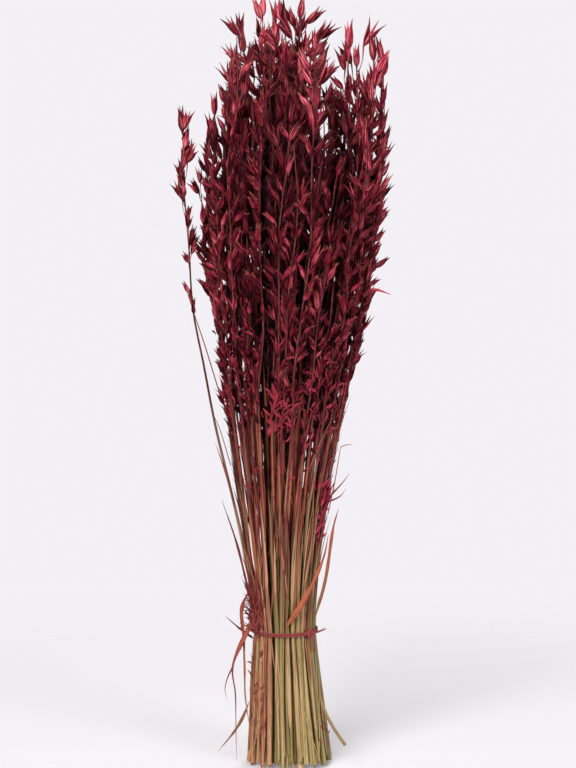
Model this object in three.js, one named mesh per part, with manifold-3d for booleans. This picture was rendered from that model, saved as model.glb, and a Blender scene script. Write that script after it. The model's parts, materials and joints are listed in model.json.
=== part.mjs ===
// A bundle of dried and dyed oats. Ninety-four stalks stand on their cut ends, drawn in at the waist
// by a string, and spread above it into a crown of burgundy heads. All sizes are in millimetres.
// +Z is up, -Y is the front, and the origin is the middle of the middle stalk's cut end.
import * as THREE from "three";
import { mergeVertices } from "three/addons/utils/BufferGeometryUtils.js";
import Module from "manifold-3d";

const wasm = await Module();
wasm.setup();

// Heights above the surface that the cut ends stand on.
const TIE_HEIGHT = 117;
const DYE_HEIGHT = 268; // straw colour below, burgundy above
const DYE_JITTER = 16;
const FLARE_HEIGHT = 510; // the stalks stop spreading here
const LOWEST_HEAD = 308;

// The stalks under the tie, where they press together.
const STEM_RADIUS = 2.35;
const CULM_RADIUS = 1.5; // where the dye begins
const TIP_RADIUS = 0.9;
const RING_PITCH = 5.1; // from one ring of stalks to the next
const PRESSED_PITCH = 4.2; // between neighbours that touch, and from the middle stalk to its ring
const SEAT_GAP = 0.3; // between faces of pieces that meet

// How many times wider than at the tie the bundle stands, less one.
const FOOT_SPREAD = 0.44;
const CROWN_SPREAD = 2.2;
const STRAIGHT_SHARE = 0.55; // of the crown's spread, the rest eases in and out
const WANDER = 1.2; // how far a stalk strays from its place for each unit of spread
const SWAY = 6;
const SWAY_PERIOD = 800;
const TWIST = 0.16; // radians from the foot to the crown

// Each ring of stalks, from the middle out: its groups of touching stalks, the stalks in a group, the
// sides of a stem, and the whorls of spikelets on a head.
const RINGS = [
  { groups: 1, members: 6, sides: 4, whorls: 1 },
  { groups: 2, members: 6, sides: 4, whorls: 1 },
  { groups: 3, members: 6, sides: 4, whorls: 2 },
  { groups: 6, members: 4, sides: 4, whorls: 3 },
  { groups: 11, members: 3, sides: 6, whorls: 4 },
];
const OUTER_RING = RINGS.length - 1;
const OUTER_RADIUS = PRESSED_PITCH + OUTER_RING * RING_PITCH;

// The crown's outline seen from the front: across, and the highest tip there.
const CROWN = [
  [-95, 575],
  [-62, 650],
  [-20, 678],
  [10, 672],
  [30, 608],
  [57, 657],
  [90, 632],
];
const TIP_DROP = 165; // the lowest tip of the outer ring is this far below that outline
const INNER_TIP_DROP = 95;

// One spikelet: two pointed husks, closed to a spindle.
const SPIKELET_LENGTH = 27;
const SPIKELET_RADIUS = 3;
const BELLY_SHARE = 0.4; // of its length, from the root to the widest place
const WIDEST_LEAN = 0.52; // radians from its stalk
const LEAST_LEAN = 0.2; // a spikelet with less room than this is left out
const BACK_SHARE = 0.7; // how deep a spikelet is for its width
const SIDE_SHARE = Math.sin(Math.PI / 3); // how far a corner beside its belly stands out
const FACE_JITTER = 0.2; // radians off the middle of its face
const BRIDGE_LENGTH = 20; // of a spikelet that leans on the next stalk
const WHORL_HEIGHT = 5; // of the roots of a whorl
const WHORL_PITCH = 62; // from one whorl to the next
const WHORL_JITTER = 12;
const NECK_LENGTH = 6; // at least, under the last spikelet
const LONGEST_RUN = 90; // of plain stalk without a bend

// The stalk at the left that leans out by itself, and the one at the right whose foot is cracked.
const STRAY = { azimuth: 3.2, lean: 0.23, rise: 230, tip: 572 };
const CRACKED = { azimuth: -0.35, height: 66, out: 25, end: 15 };

const CORD_RADIUS = 1;
// The knot, and its two ends as steps from it: along the string, outwards, and up.
const KNOT = {
  azimuth: -0.75,
  radius: 2.3,
  ends: [
    [[0, 0, 0], [7, 2, 0.5], [14, 2, 1]],
    [[0, 0, 0], [3, 2.5, -6], [4, 2, -13]],
  ],
};

const LEAF_HALF_THICKNESS = 0.5;
// The dried blades that show. Each has the side and the height of its root, its half width, and the
// points that it passes after its root.
const LEAVES = [
  {
    name: "leaf_left_hanging",
    azimuth: -2.8,
    root: 127,
    wide: 2.2,
    points: [[-37, -12, 119], [-50, -13, 88], [-48, -12, 62], [-47.5, -11, 30], [-47, -11, 4]],
  },
  {
    name: "leaf_left_long",
    azimuth: 3.2,
    root: 152,
    wide: 2,
    points: [[-43, -5, 135], [-41, -8, 112], [-40, -11, 84], [-39, -15, 60], [-33.5, -24, 27]],
  },
  {
    name: "leaf_left_upright",
    azimuth: 2.95,
    root: 138,
    wide: 1.5,
    points: [[-38.5, 2, 156], [-47.5, 2, 194], [-60, 1, 231]],
  },
  {
    name: "leaf_left_stub",
    azimuth: 2.8,
    root: 107,
    wide: 1.5,
    points: [[-42, 11, 113], [-58, 10, 127]],
  },
  {
    name: "leaf_left_foot",
    azimuth: 3,
    root: 52,
    wide: 1.8,
    points: [[-47, 6, 28], [-64, 8, 6]],
  },
  {
    name: "leaf_front_strap",
    azimuth: -1.6,
    root: 125,
    wide: 2.6,
    points: [[9, -33, 143], [20, -31, 163], [29, -27, 185], [33, -25, 204]],
  },
  {
    name: "leaf_right_long",
    azimuth: -0.4,
    root: 127,
    wide: 2.2,
    points: [[31, -18, 163], [37, -20, 207], [42, -21, 226]],
  },
];

const STRAW = { color: 0xa9945c, roughness: 0.75, metalness: 0 };
const BURGUNDY = { color: 0x7a1f2e, roughness: 0.8, metalness: 0 };
const RUST = { color: 0x9a4a30, roughness: 0.8, metalness: 0 };
const STRING = { color: 0x8a2f45, roughness: 0.85, metalness: 0 };

const SEED = 7;
// A draw from 0 to 1 that is the same each time for the same stalk and the same use. Uses under 20
// are for the whole stalk, and the rest are for its spikelets.
function draw(stalk, use) {
  const wave = Math.sin((stalk + SEED) * 12.9898 + use * 78.233) * 43758.5453;
  return wave - Math.floor(wave);
}

const clamp = (value, low, high) => Math.min(high, Math.max(low, value));
const ease = (share) => share * share * (3 - 2 * share);

function spreadAt(z) {
  if (z < TIE_HEIGHT) return 1 + (FOOT_SPREAD * (TIE_HEIGHT - z)) / TIE_HEIGHT;
  const share = clamp((z - TIE_HEIGHT) / (FLARE_HEIGHT - TIE_HEIGHT), 0, 1);
  return 1 + CROWN_SPREAD * (STRAIGHT_SHARE * share + (1 - STRAIGHT_SHARE) * ease(share));
}

// The line up the middle of the bundle, as a stalk that never strays.
const MIDDLE = { radius: 0, azimuth: 0, drift: 0 };

// The middle of a stalk at a height.
function axisAt(stalk, z) {
  const spread = spreadAt(z);
  const turn = stalk.azimuth + (TWIST * z) / FLARE_HEIGHT;
  const lean = stalk.stray ? STRAY.lean * ease(clamp((z - TIE_HEIGHT) / STRAY.rise, 0, 1)) : 0;
  const reach = stalk.radius * spread * (1 + lean);
  const wander = stalk.radius > 0 ? WANDER * (spread - 1) : 0;
  const sway = SWAY * Math.sin((2 * Math.PI * z) / SWAY_PERIOD);
  const x = reach * Math.cos(turn) + wander * Math.cos(stalk.drift) - sway;
  const y = reach * Math.sin(turn) + wander * Math.sin(stalk.drift);
  return new THREE.Vector3(x, y, z);
}

function crownAt(x) {
  const next = CROWN.findIndex(([across]) => across > x);
  if (next < 0) return CROWN[CROWN.length - 1][1];
  if (next === 0) return CROWN[0][1];
  const [x0, z0] = CROWN[next - 1];
  const [x1, z1] = CROWN[next];
  return z0 + ((z1 - z0) * (x - x0)) / (x1 - x0);
}

// The outer stalk that stands nearest to a side of the bundle.
function outermost(stalks, azimuth) {
  const off = (stalk) => 1 - Math.cos(stalk.azimuth - azimuth);
  const outer = stalks.filter((stalk) => stalk.ring === OUTER_RING);
  return outer.reduce((best, stalk) => (off(stalk) < off(best) ? stalk : best));
}

// Every stalk of the bundle, in groups of touching neighbours.
function makeStalks() {
  const groups = [];
  let count = 0;
  const add = (members, ring, radius, azimuth) => {
    const index = count++;
    const stalk = { index, ring, radius, azimuth, drift: 2 * Math.PI * draw(index, 1) };
    stalk.top = DYE_HEIGHT + DYE_JITTER * (2 * draw(index, 2) - 1);
    members.push(stalk);
    return stalk;
  };
  RINGS.forEach(({ groups: number, members: size }, ring) => {
    const radius = PRESSED_PITCH + ring * RING_PITCH;
    for (let g = 0; g < number; g++) {
      const members = [];
      if (ring === 0) add(members, ring, 0, 0);
      for (let m = 0; m < size; m++) {
        const offset = (m - (size - 1) / 2) * (PRESSED_PITCH / radius);
        add(members, ring, radius, (2 * Math.PI * (g + 0.5 * (ring % 2))) / number + offset);
      }
      groups.push({ ring, members });
    }
  });
  const stalks = groups.flatMap((group) => group.members);
  outermost(stalks, STRAY.azimuth).stray = true;
  outermost(stalks, CRACKED.azimuth).cracked = true;
  for (const stalk of stalks) {
    const drop = (stalk.ring === OUTER_RING ? TIP_DROP : INNER_TIP_DROP) * draw(stalk.index, 3);
    stalk.tip = stalk.stray ? STRAY.tip : crownAt(axisAt(stalk, FLARE_HEIGHT).x) - drop;
    stalk.highest = stalk.tip - SPIKELET_LENGTH - WHORL_HEIGHT - WHORL_JITTER - NECK_LENGTH;
    const pitch = WHORL_PITCH * (0.85 + 0.3 * draw(stalk.index, 4));
    const reach = pitch * (RINGS[stalk.ring].whorls - 1);
    stalk.lowest = Math.max(LOWEST_HEAD + 25 * draw(stalk.index, 5), stalk.highest - reach);
  }
  return groups;
}

// Bends a geometry that stands round the Y axis, in even rows, so that each row of its vertices lies
// round a given place, with X going across and Z going through.
function follow(geometry, rows) {
  const place = geometry.getAttribute("position");
  geometry.computeBoundingBox();
  const { min, max } = geometry.boundingBox;
  for (let i = 0; i < place.count; i++) {
    const share = (place.getY(i) - min.y) / (max.y - min.y);
    const { at, across, through } = rows[Math.round(share * (rows.length - 1))];
    const moved = at
      .clone()
      .addScaledVector(across, place.getX(i))
      .addScaledVector(through, place.getZ(i));
    place.setXYZ(i, moved.x, moved.y, moved.z);
  }
  return geometry;
}

function toSolid(geometry) {
  for (const extra of ["normal", "uv"]) geometry.deleteAttribute(extra);
  const merged = mergeVertices(geometry, 1e-4);
  return new wasm.Manifold(
    new wasm.Mesh({
      numProp: 3,
      vertProperties: new Float32Array(merged.attributes.position.array),
      triVerts: new Uint32Array(merged.index.array),
    }),
  );
}

function toMesh(name, solid, material) {
  const { numProp, vertProperties, triVerts } = solid.getMesh();
  const geometry = new THREE.BufferGeometry();
  geometry.setAttribute("position", new THREE.BufferAttribute(vertProperties, numProp));
  geometry.setIndex(new THREE.BufferAttribute(triVerts, 1));
  geometry.computeVertexNormals();
  const mesh = new THREE.Mesh(geometry, new THREE.MeshStandardMaterial(material));
  mesh.name = name;
  return mesh;
}

const fuse = (solids) => solids.reduce((whole, solid) => whole.add(solid));

// A round piece that is level at both ends, with a corner towards each neighbour in its ring.
function levelTube(middles, radii, sides, azimuth) {
  const outward = new THREE.Vector3(Math.cos(azimuth), Math.sin(azimuth), 0);
  const beside = new THREE.Vector3(-Math.sin(azimuth), Math.cos(azimuth), 0);
  const rows = middles.map((at, i) => ({
    at,
    across: beside.clone().multiplyScalar(-radii[i]),
    through: outward.clone().multiplyScalar(-radii[i]),
  }));
  const segments = middles.length - 1;
  return toSolid(follow(new THREE.CylinderGeometry(1, 1, 1, sides, segments), rows));
}

const stemLine = (stalk) => [0, TIE_HEIGHT, stalk.top].map((z) => axisAt(stalk, z));

// The straw-coloured lower part of a stalk, from its cut end to where the dye begins.
function stem(stalk) {
  const middles = stemLine(stalk);
  const radii = [STEM_RADIUS, STEM_RADIUS, CULM_RADIUS];
  if (stalk.cracked) {
    const out = new THREE.Vector3(Math.cos(stalk.azimuth), Math.sin(stalk.azimuth), 0);
    const bend = axisAt(stalk, CRACKED.height);
    const end = bend.clone().addScaledVector(out, CRACKED.out).setZ(CRACKED.end);
    middles.splice(0, 1, end, bend);
    radii.unshift(STEM_RADIUS);
  }
  return levelTube(middles, radii, RINGS[stalk.ring].sides, stalk.azimuth);
}

// The centres of a head's rings of corners, upwards: its foot, a pair for each whorl of spikelets,
// and the neck of the last spikelet. A long plain run has a bend in its middle.
function culmRings(stalk) {
  const { highest, lowest } = stalk;
  const { whorls } = RINGS[stalk.ring];
  const heights = [stalk.top + SEAT_GAP];
  const starts = new Set();
  for (let w = 0; w < whorls; w++) {
    const share = (w + 1 - whorls) / Math.max(whorls - 1, 1);
    const z = highest + (highest - lowest) * share + WHORL_JITTER * draw(stalk.index, 6 + w);
    const before = heights[heights.length - 1];
    if (z - before > LONGEST_RUN) heights.push((z + before) / 2);
    starts.add(heights.length);
    heights.push(z, z + WHORL_HEIGHT);
  }
  heights.push(stalk.tip - SPIKELET_LENGTH);
  return { starts, centres: heights.map((z) => axisAt(stalk, z)) };
}

// A point of a line of points, at a height.
function pointAt(line, z) {
  const next = clamp(line.findIndex((point) => point.z > z), 1, line.length - 1);
  const [low, high] = [line[next - 1], line[next]];
  return low.clone().lerp(high, (z - low.z) / (high.z - low.z));
}

// How far sideways a spikelet's tip may reach before it meets the next stalk: each stalk keeps to
// its own side of the middle of the gap.
function roomAt(stalk, others, z, share, outward, radius) {
  const own = axisAt(stalk, z);
  let room = SPIKELET_LENGTH;
  for (const other of others) {
    const away = axisAt(other, z).sub(own).setZ(0);
    const half = away.length() / 2 - SEAT_GAP;
    const facing = outward.dot(away.normalize());
    if (facing <= 0) continue;
    const back = BACK_SHARE * radius * facing;
    const beside = SIDE_SHARE * radius * Math.sqrt(1 - facing * facing) - back / 2;
    const bulge = share < 1 ? Math.max(back, beside) : 0;
    room = Math.min(room, ((half - bulge) / facing - CULM_RADIUS / 2) / share);
  }
  return room;
}

// A head: the thin upper stalk, three-sided, with spikelets raised from its faces in whorls. Each
// spikelet is a spindle with a ridge down its back, and leans out as far as there is room.
function head(stalk, others) {
  const { starts, centres } = culmRings(stalk);
  const points = [];
  const triangles = [];
  const corners = (at, radius) => {
    const first = points.length;
    for (let i = 0; i < 3; i++) {
      const turn = stalk.azimuth + Math.PI / 3 + (2 * Math.PI * i) / 3;
      points.push(new THREE.Vector3(radius * Math.cos(turn), radius * Math.sin(turn), 0).add(at));
    }
    return [first, first + 1, first + 2];
  };
  const sleeve = (low, high) => {
    for (let i = 0; i < 3; i++) {
      const next = (i + 1) % 3;
      triangles.push([low[i], low[next], high[next]], [low[i], high[next], high[i]]);
    }
  };
  const close = (ring, tip) => {
    points.push(tip);
    for (let i = 0; i < 3; i++) triangles.push([ring[i], ring[(i + 1) % 3], points.length - 1]);
  };
  const whorl = (low, high, number) => {
    for (let face = 0; face < 3; face++) {
      const next = (face + 1) % 3;
      const base = [low[face], high[next], high[face]];
      triangles.push([low[face], low[next], high[next]]);
      const use = 20 + 9 * number + 3 * face;
      const size = 0.84 + 0.28 * draw(stalk.index, use);
      const jitter = FACE_JITTER * (2 * draw(stalk.index, use + 1) - 1);
      const turn = stalk.azimuth + (2 * Math.PI * (face + 1)) / 3 + jitter;
      const outward = new THREE.Vector3(Math.cos(turn), Math.sin(turn), 0);
      const length = SPIKELET_LENGTH * size;
      const radius = SPIKELET_RADIUS * size;
      const root = points[base[0]].clone().add(points[base[1]]).add(points[base[2]]).divideScalar(3);
      const rooms = [BELLY_SHARE, 1].map((share) =>
        roomAt(stalk, others, root.z + share * length, share, outward, radius));
      const widest = WIDEST_LEAN * (0.5 + 0.5 * draw(stalk.index, use + 2));
      const lean = Math.min(widest, Math.asin(clamp(Math.min(...rooms) / length, 0, 1)));
      if (lean < LEAST_LEAN) {
        triangles.push(base);
        continue;
      }
      const along = points[high[0]].clone().sub(points[low[0]]).normalize();
      const direction = along.multiplyScalar(Math.cos(lean)).addScaledVector(outward, Math.sin(lean));
      direction.normalize();
      const beside = new THREE.Vector3(-outward.y, outward.x, 0);
      const back = beside.clone().cross(direction).multiplyScalar(BACK_SHARE * radius);
      const belly = root.clone().addScaledVector(direction, BELLY_SHARE * length);
      const first = points.length;
      points.push(
        belly.clone().add(back),
        belly.clone().addScaledVector(back, -0.5).addScaledVector(beside, SIDE_SHARE * radius),
        belly.clone().addScaledVector(back, -0.5).addScaledVector(beside, -SIDE_SHARE * radius),
      );
      const widestRing = [first, first + 1, first + 2];
      sleeve(base, widestRing);
      close(widestRing, root.clone().addScaledVector(direction, length));
    }
  };
  const radiusAt = (z) => {
    const share = (z - centres[0].z) / (stalk.tip - centres[0].z);
    return CULM_RADIUS + (TIP_RADIUS - CULM_RADIUS) * share;
  };
  let low;
  centres.forEach((centre, i) => {
    const high = corners(centre, radiusAt(centre.z));
    if (i === 0) triangles.push([high[2], high[1], high[0]]);
    else if (starts.has(i - 1)) whorl(low, high, i);
    else sleeve(low, high);
    low = high;
  });
  const belly = corners(axisAt(stalk, stalk.tip - (1 - BELLY_SHARE) * SPIKELET_LENGTH), SPIKELET_RADIUS);
  sleeve(low, belly);
  close(belly, axisAt(stalk, stalk.tip));
  const geometry = new THREE.BufferGeometry().setFromPoints(points);
  return toSolid(geometry.setIndex(triangles.flat()));
}

// A spikelet under the whorls of one head, which leans on the next stalk of its group and joins the two.
function bridge(stalk, neighbour) {
  const [from, to] = [culmRings(stalk).centres, culmRings(neighbour).centres];
  const root = pointAt(from, Math.max(stalk.top, neighbour.top) + 4);
  const gap = pointAt(to, root.z).sub(root).setZ(0).length();
  const tip = pointAt(to, root.z + Math.sqrt(BRIDGE_LENGTH ** 2 - gap ** 2));
  const direction = tip.clone().sub(root);
  const inward = new THREE.Vector3(direction.y, -direction.x, 0).normalize();
  const back = inward.clone().cross(direction).normalize();
  const rows = [0, 0.5, 1].map((share) => ({
    at: root.clone().addScaledVector(direction, share),
    across: inward.clone().multiplyScalar(SPIKELET_RADIUS),
    through: back.clone().multiplyScalar(SPIKELET_RADIUS),
  }));
  return toSolid(follow(new THREE.SphereGeometry(1, 3, 2), rows));
}

// A flat strip along a line of points, four-sided, wide across and thin through. It faces one way at
// its root and another at its tip. Its half width comes from a function of the share of its length.
function strip(points, halfWidthAt, halfThickness, faces) {
  const curve = new THREE.CatmullRomCurve3(points);
  const steps = 2 * (points.length - 1);
  const rows = Array.from({ length: steps + 1 }, (_, i) => {
    const share = i / steps;
    const across = faces[0].clone().lerp(faces[1], share).cross(curve.getTangent(share)).normalize();
    const through = across.clone().cross(curve.getTangent(share)).multiplyScalar(halfThickness);
    return { at: curve.getPoint(share), across: across.multiplyScalar(halfWidthAt(share)), through };
  });
  return toSolid(follow(new THREE.CylinderGeometry(1, 1, 1, 4, steps), rows));
}

// The string: two turns round the waist, a knot at the front right, and its two ends.
function tie() {
  const radius = OUTER_RADIUS + STEM_RADIUS + 2.5 * SEAT_GAP + CORD_RADIUS;
  const middle = axisAt(MIDDLE, TIE_HEIGHT);
  const out = new THREE.Vector3(Math.cos(KNOT.azimuth), Math.sin(KNOT.azimuth), 0);
  const beside = new THREE.Vector3(-out.y, out.x, 0);
  const seat = middle.clone().addScaledVector(out, radius + CORD_RADIUS);
  const turns = [-1.1, 1.1].map((up) => {
    const ring = new THREE.TorusGeometry(radius, CORD_RADIUS, 4, 24);
    return toSolid(ring.translate(middle.x, middle.y, TIE_HEIGHT + up * CORD_RADIUS));
  });
  const knot = new THREE.TorusGeometry(KNOT.radius, CORD_RADIUS, 4, 8);
  knot.rotateX(Math.PI / 2).rotateZ(KNOT.azimuth + Math.PI / 2).translate(seat.x, seat.y, seat.z);
  const ends = KNOT.ends.map((steps) => {
    const points = steps.map(([along, away, up]) =>
      seat.clone().addScaledVector(beside, along).addScaledVector(out, away).setZ(TIE_HEIGHT + up));
    return strip(points, () => CORD_RADIUS, CORD_RADIUS, [out, out]);
  });
  return fuse([...turns, toSolid(knot), ...ends]);
}

// A dried blade that grows from the skin of an outer stalk.
function leaf({ azimuth, root, wide, points }) {
  const from = pointAt(stemLine(outermost(stalks, azimuth)), root);
  const outward = from.clone().sub(axisAt(MIDDLE, root)).setZ(0).normalize();
  from.addScaledVector(outward, STEM_RADIUS + SEAT_GAP + LEAF_HALF_THICKNESS);
  const line = [from, ...points.map(([x, y, z]) => new THREE.Vector3(x, y, z))];
  const halfWidthAt = (share) => wide * Math.min(0.5 + 3 * share, 1.25 - 1.1 * share, 1);
  return strip(line, halfWidthAt, LEAF_HALF_THICKNESS, [outward, new THREE.Vector3(0, -1, 0)]);
}

const bundle = new THREE.Group();
const groups = makeStalks();
const stalks = groups.flatMap((group) => group.members);
groups.forEach(({ members }, number) => {
  const name = String(number + 1).padStart(2, "0");
  const heads = members.map((stalk) => head(stalk, stalks.filter((other) => other !== stalk)));
  const bridges = members.slice(1).map((stalk, i) => bridge(members[i], stalk));
  bundle.add(toMesh("stems_" + name, fuse(members.map(stem)), STRAW));
  bundle.add(toMesh("heads_" + name, fuse([...heads, ...bridges]), BURGUNDY));
});
bundle.add(toMesh("tie", tie(), STRING));
for (const blade of LEAVES) bundle.add(toMesh(blade.name, leaf(blade), RUST));

export default bundle;
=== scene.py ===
# A sheaf of dried oats: ninety-four stalks that stand on their cut ends, are drawn in at the waist by a
# string, and spread above it into a crown of dyed burgundy heads. Sizes are in metres unless said.
import json
from functools import partialmethod
from math import ceil, cos, pi, radians, sin

import bpy
from mathutils import Matrix, Vector, noise

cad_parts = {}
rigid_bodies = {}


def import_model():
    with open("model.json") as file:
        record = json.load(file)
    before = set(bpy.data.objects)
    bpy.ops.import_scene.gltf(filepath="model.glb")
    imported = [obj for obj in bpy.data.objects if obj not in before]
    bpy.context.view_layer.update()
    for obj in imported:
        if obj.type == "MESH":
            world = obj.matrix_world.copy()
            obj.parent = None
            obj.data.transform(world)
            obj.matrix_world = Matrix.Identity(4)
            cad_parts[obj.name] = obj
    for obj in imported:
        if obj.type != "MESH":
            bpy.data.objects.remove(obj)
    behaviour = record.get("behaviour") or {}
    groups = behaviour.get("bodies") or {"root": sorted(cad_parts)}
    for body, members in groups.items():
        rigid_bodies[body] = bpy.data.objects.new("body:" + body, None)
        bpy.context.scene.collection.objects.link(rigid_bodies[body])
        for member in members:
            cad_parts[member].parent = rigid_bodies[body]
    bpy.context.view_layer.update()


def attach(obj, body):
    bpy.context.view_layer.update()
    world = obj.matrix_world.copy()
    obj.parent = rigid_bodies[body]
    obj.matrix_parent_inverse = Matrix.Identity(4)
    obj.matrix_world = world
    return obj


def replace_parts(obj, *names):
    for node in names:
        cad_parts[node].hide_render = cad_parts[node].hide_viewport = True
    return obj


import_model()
scene = bpy.context.scene


# The camera stands 1.3 m in front of the sheaf, a little above its middle, and looks slightly down, so
# that the cut ends and the tips both come close to the edges of the picture.
VIEWPOINT = Vector((-0.0018, -1.3, 0.373))
LOOKED_AT = Vector((-0.0018, 0, 0.3335))
camera = bpy.data.objects.new("camera", bpy.data.cameras.new("camera"))
scene.collection.objects.link(camera)
scene.camera = camera
camera.location = VIEWPOINT
camera.rotation_euler = (LOOKED_AT - VIEWPOINT).to_track_quat("-Z", "Y").to_euler()
camera.data.lens = 69.4
camera.data.sensor_width = 36
camera.data.clip_start = 0.05


# A plain pale floor, which fades into the pale air round it. It has the first finish, so what makes every
# finish stands here: a tree that nodes are added to, and wires whose sums add maths nodes to it.
class Wire:
    """What comes out of a node. Sums of wires and numbers add Math nodes to their tree."""

    def __init__(self, tree, socket):
        self.tree = tree
        self.socket = socket

    def beside(self, name):
        """Another outlet of the same node."""
        return Wire(self.tree, self.socket.node.outputs[name])

    def maths(self, operation, *others):
        values = dict(enumerate((self, *others)))
        return self.tree.add("ShaderNodeMath", values, operation=operation)

    __add__ = __radd__ = partialmethod(maths, "ADD")
    __sub__ = partialmethod(maths, "SUBTRACT")
    __mul__ = __rmul__ = partialmethod(maths, "MULTIPLY")
    __truediv__ = partialmethod(maths, "DIVIDE")
    __pow__ = partialmethod(maths, "POWER")
    __gt__ = partialmethod(maths, "GREATER_THAN")
    __lt__ = partialmethod(maths, "LESS_THAN")

    def __rsub__(self, other):
        return self.tree.add("ShaderNodeMath", {0: other, 1: self}, operation="SUBTRACT")

    def held(self):
        """The same, kept between 0 and 1."""
        return self.tree.add("ShaderNodeClamp", {"Value": self})


class Tree:
    """The nodes of one finish or of one kind of piece."""

    def __init__(self, tree):
        self.nodes = tree.nodes
        self.links = tree.links

    def add(self, kind, values=None, result=0, **settings):
        """Adds one node: its type, what goes into its inlets, the outlet that is used, and its settings."""
        node = self.nodes.new(kind)
        for name, value in settings.items():
            if name == "stops":
                for place, _ in value[2:]:
                    node.color_ramp.elements.new(place)
                for element, (place, colour) in zip(node.color_ramp.elements, value):
                    element.position = place
                    element.color = (*colour, 1)
            else:
                setattr(node, name, value)
        inlets = [socket for socket in node.inputs if socket.enabled]
        for key, value in (values or {}).items():
            inlet = inlets[key] if isinstance(key, int) else next(s for s in inlets if s.name == key)
            if isinstance(value, Wire):
                self.links.new(value.socket, inlet)
            else:
                inlet.default_value = value
        outlets = [socket for socket in node.outputs if socket.enabled]
        return Wire(self, outlets[result] if isinstance(result, int) else node.outputs[result])

    def vector(self, x=0.0, y=0.0, z=0.0):
        return self.add("ShaderNodeCombineXYZ", {"X": x, "Y": y, "Z": z})

    def parts(self, vector):
        """The three numbers of a vector."""
        across = self.add("ShaderNodeSeparateXYZ", {"Vector": vector})
        return across, across.beside("Y"), across.beside("Z")

    def cloud(self, place, detail, scale=1.0):
        """A soft noise, read at a place."""
        return self.add("ShaderNodeTexNoise", {"Vector": place, "Scale": scale, "Detail": detail}, "Fac")


class Finish(Tree):
    """A new material, and the tree that its colour is made in."""

    def __init__(self, name, roughness, gloss):
        self.material = bpy.data.materials.new(name)
        self.material.use_nodes = True
        super().__init__(self.material.node_tree)
        self.shader = self.nodes["Principled BSDF"]
        self.shader.inputs["Roughness"].default_value = roughness
        self.shader.inputs["Specular IOR Level"].default_value = gloss

    def sets(self, inlet, wire):
        """Lets a wire say one thing about the surface."""
        self.links.new(wire.socket, self.shader.inputs[inlet])

    def raised(self, relief, strength, depth):
        """Gives the surface a fine relief."""
        values = {"Strength": strength, "Distance": depth, "Height": relief}
        self.sets("Normal", self.add("ShaderNodeBump", values))

    def read(self, *names):
        """Measures that the points of the piece carry under these names."""
        return [self.add("ShaderNodeAttribute", {}, "Fac", attribute_name=name) for name in names]

    def place_on(self, name):
        """The three numbers of a place that the points of the piece carry under this name."""
        return self.parts(self.add("ShaderNodeAttribute", {}, "Vector", attribute_name=name))

    def ramp(self, share, stops):
        """A colour from a row of colours."""
        return self.add("ShaderNodeValToRGB", {"Fac": share}, "Color", stops=stops)


def mixed(share, first, second, blend="MIX"):
    """A colour between two colours, or one laid on the other."""
    tree = share.tree if isinstance(share, Wire) else first.tree
    first, second = (c if isinstance(c, Wire) else (*c, 1) for c in (first, second))
    values = {"Factor": share, "A": first, "B": second}
    return tree.add("ShaderNodeMix", values, data_type="RGBA", blend_type=blend)


FLOOR_SIDES = 96
floor_mesh = bpy.data.meshes.new("floor")
turns = [2 * pi * i / FLOOR_SIDES for i in range(FLOOR_SIDES)]
rim = [(cos(turn), sin(turn), 0) for turn in turns]
floor_mesh.from_pydata(rim, [], [list(range(FLOOR_SIDES))])
floor = bpy.data.objects.new("floor", floor_mesh)
scene.collection.objects.link(floor)
pale_floor = Finish("pale floor", 0.9, 0.1)
place = pale_floor.add("ShaderNodeTexCoord", result="Object")
paper = pale_floor.cloud(place, 2.0, 3.0)
pale_floor.sets("Base Color", mixed(paper, (0.625, 0.61, 0.635), (0.645, 0.625, 0.65)))
away = pale_floor.add("ShaderNodeVectorMath", {"Vector": place}, "Value", operation="LENGTH")
values = {"Value": away, "From Min": 0.95, "From Max": 0.2}
fade = pale_floor.add("ShaderNodeMapRange", values, interpolation_type="SMOOTHSTEP")
pale_floor.sets("Alpha", fade * 0.8)
floor_mesh.materials.append(pale_floor.material)


# Soft studio light: pale air all round, a broad lamp at the front left, a weaker one at the front right,
# and one behind, which lights the edges of the heads.
LIT_PLACE = Vector((0, 0, 0.35))
LAMPS = [  # name, place, width, power and colour
    ("key lamp", (-0.9, -1.8, 1.6), 1.3, 84, (1, 0.98, 0.96)),
    ("fill lamp", (1.6, -1.65, 0.6), 0.9, 42, (0.97, 0.98, 1)),
    ("back lamp", (0.5, 1.9, 1.6), 1.0, 44, (1, 1, 1)),
]
for name, place, width, power, colour in LAMPS:
    lamp = bpy.data.objects.new(name, bpy.data.lights.new(name, "AREA"))
    scene.collection.objects.link(lamp)
    lamp.data.size = width
    lamp.data.energy = power
    lamp.data.color = colour
    lamp.location = place
    lamp.rotation_euler = (LIT_PLACE - lamp.location).to_track_quat("-Z", "Y").to_euler()
scene.world = bpy.data.worlds.new("air")
scene.world.use_nodes = True
air = Tree(scene.world.node_tree)
glow = air.nodes["Background"]
glow.inputs["Color"].default_value = (0.93, 0.9, 0.945, 1)
seen = air.add("ShaderNodeLightPath", result="Is Camera Ray")
air.links.new((seen * 0.77 + 0.2).socket, glow.inputs["Strength"])
scene.view_settings.view_transform = "Standard"


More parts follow.
